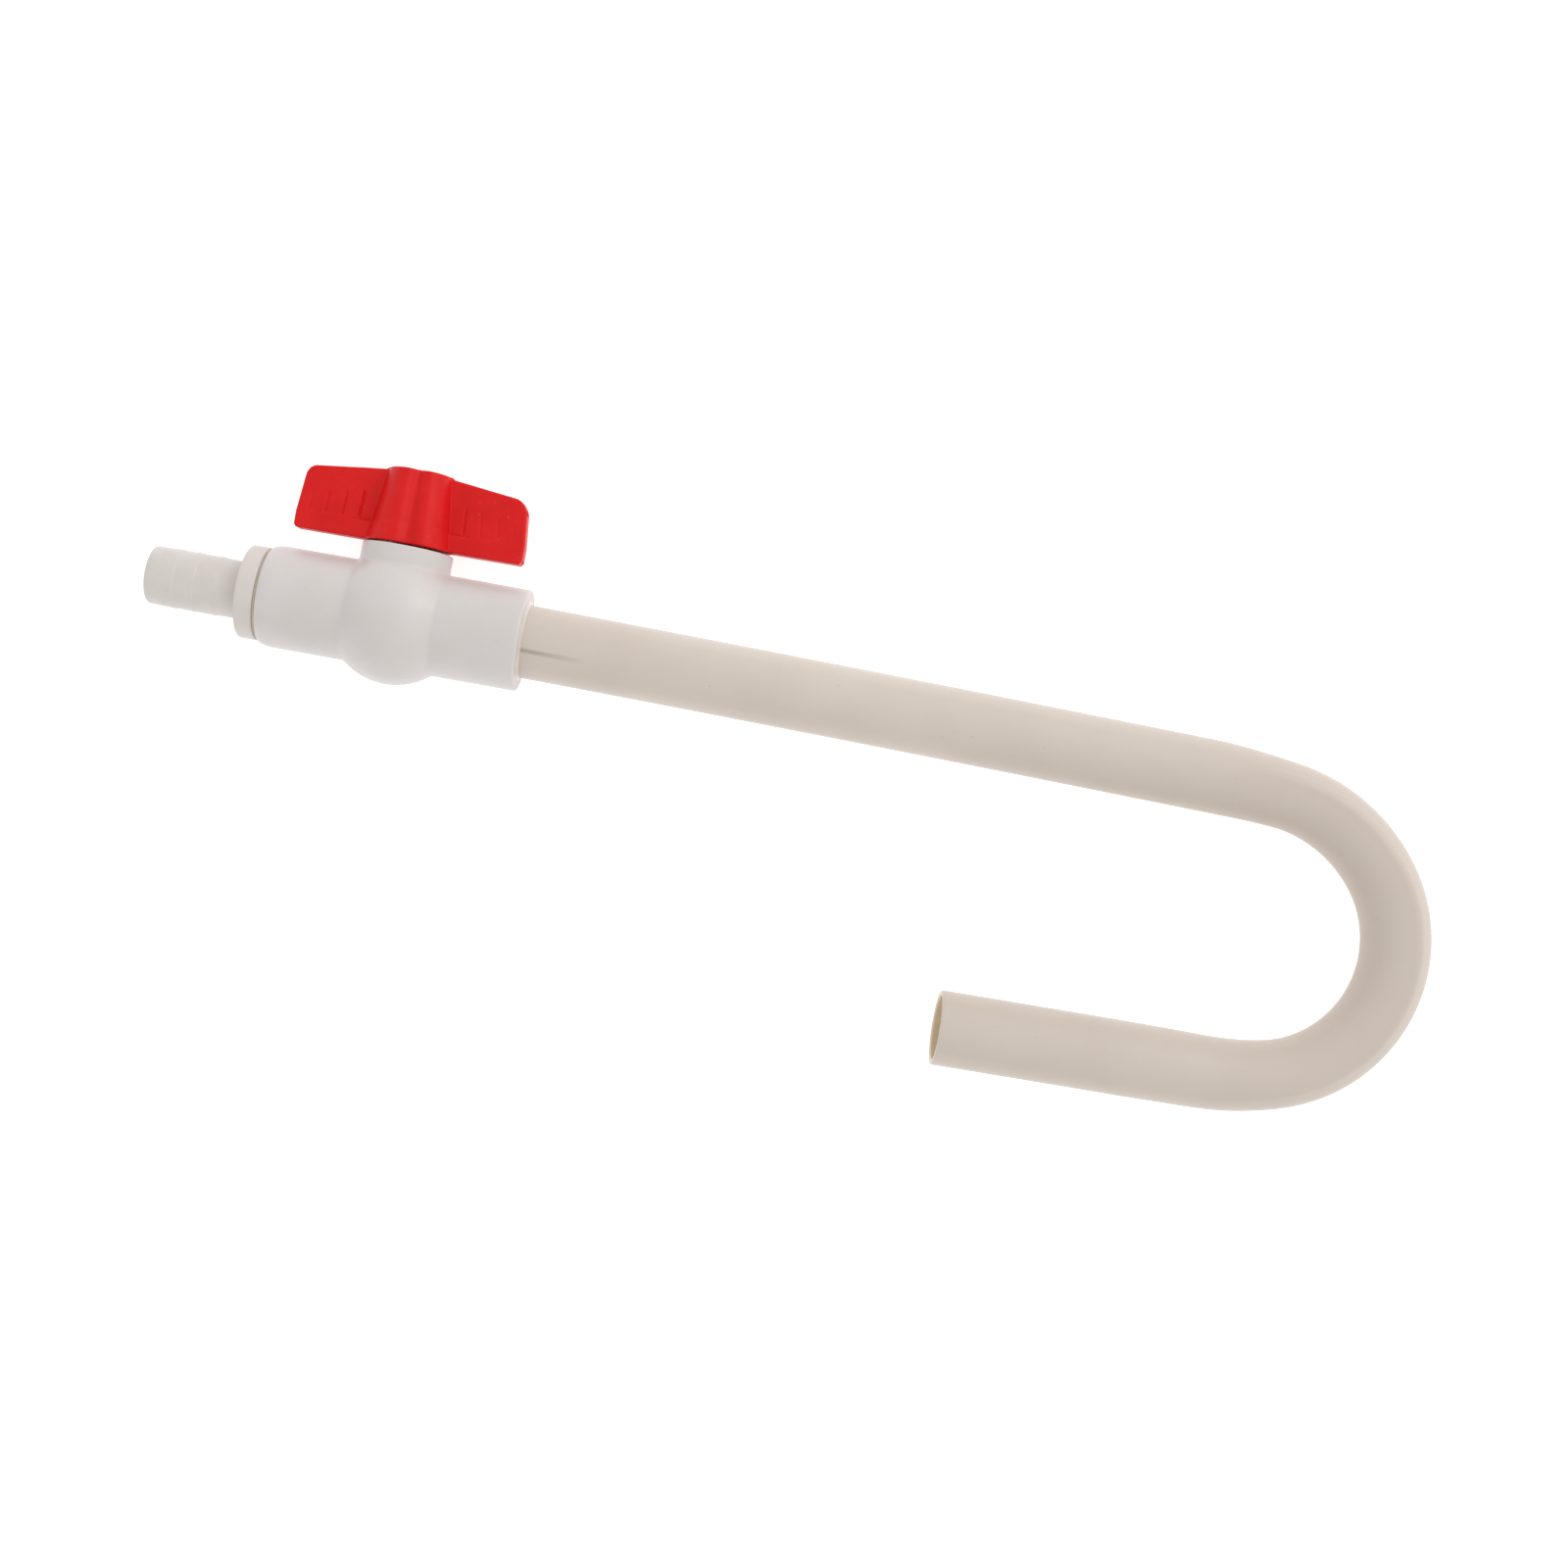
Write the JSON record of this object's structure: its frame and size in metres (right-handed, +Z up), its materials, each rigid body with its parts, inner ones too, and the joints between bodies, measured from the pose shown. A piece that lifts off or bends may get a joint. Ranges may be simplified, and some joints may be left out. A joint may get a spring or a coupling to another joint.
{
  "type": "gravel vacuum siphon",
  "caption": "Rigid hooked siphon tube for an aquarium rim, with a quarter-turn ball valve, a red T handle and a barbed hose adapter.",
  "frame": {"origin": "on the table under the middle of the part's box, the part lying flat on the valve's bulge and the hook", "axes": "+X along the valve from the hose adapter towards the hook, +Y up the valve's stem towards the handle, +Z up from the table"},
  "size_m": [0.3618, 0.134, 0.0366],
  "materials": {
    "valve_plastic": "moulded PVC-U, satin gloss",
    "adapter_plastic": "moulded PVC-U, satin",
    "tube_plastic": "extruded PVC-U, satin, slightly yellowed",
    "handle_plastic": "moulded ABS, satin",
    "ball_plastic": "moulded and polished",
    "seat_plastic": "turned, waxy",
    "carrier_plastic": "moulded",
    "ring_rubber": "moulded EPDM",
    "gasket_rubber": "cut sheet rubber, tan",
    "screw_steel": "stainless steel, plain"
  },
  "bodies": {
    "siphon_body": {"valve_body": "valve_plastic", "hook_tube": "tube_plastic", "hose_adapter": "adapter_plastic", "adapter_gasket": "gasket_rubber", "seat_tube_side": "seat_plastic", "seat_hose_side": "seat_plastic", "seat_ring_tube_side": "ring_rubber", "seat_ring_hose_side": "ring_rubber", "seat_carrier_tube_side": "carrier_plastic", "seat_carrier_hose_side": "carrier_plastic"},
    "handle_and_stem": {"handle": "handle_plastic", "stem": "carrier_plastic", "thrust_washer": "seat_plastic", "stem_o_ring_lower": "ring_rubber", "stem_o_ring_upper": "ring_rubber", "handle_screw": "screw_steel", "screw_washer": "screw_steel"},
    "valve_ball": {"ball": "ball_plastic"}
  },
  "joints": [
    {"name": "handle_turn", "type": "hinge", "parent": "siphon_body", "child": "handle_and_stem", "pos_m": [-0.11343, 0.02641, 0.0183], "axis": [0, -1, 0], "range_deg": [0, 90]},
    {"name": "ball_turn", "type": "hinge", "parent": "siphon_body", "child": "valve_ball", "pos_m": [-0.11343, 0.02641, 0.0183], "axis": [0, -1, 0], "range_deg": [0, 90]}
  ],
  "couplings": [
    {"joint": "ball_turn", "follows": "handle_turn", "ratio": 1}
  ]
}
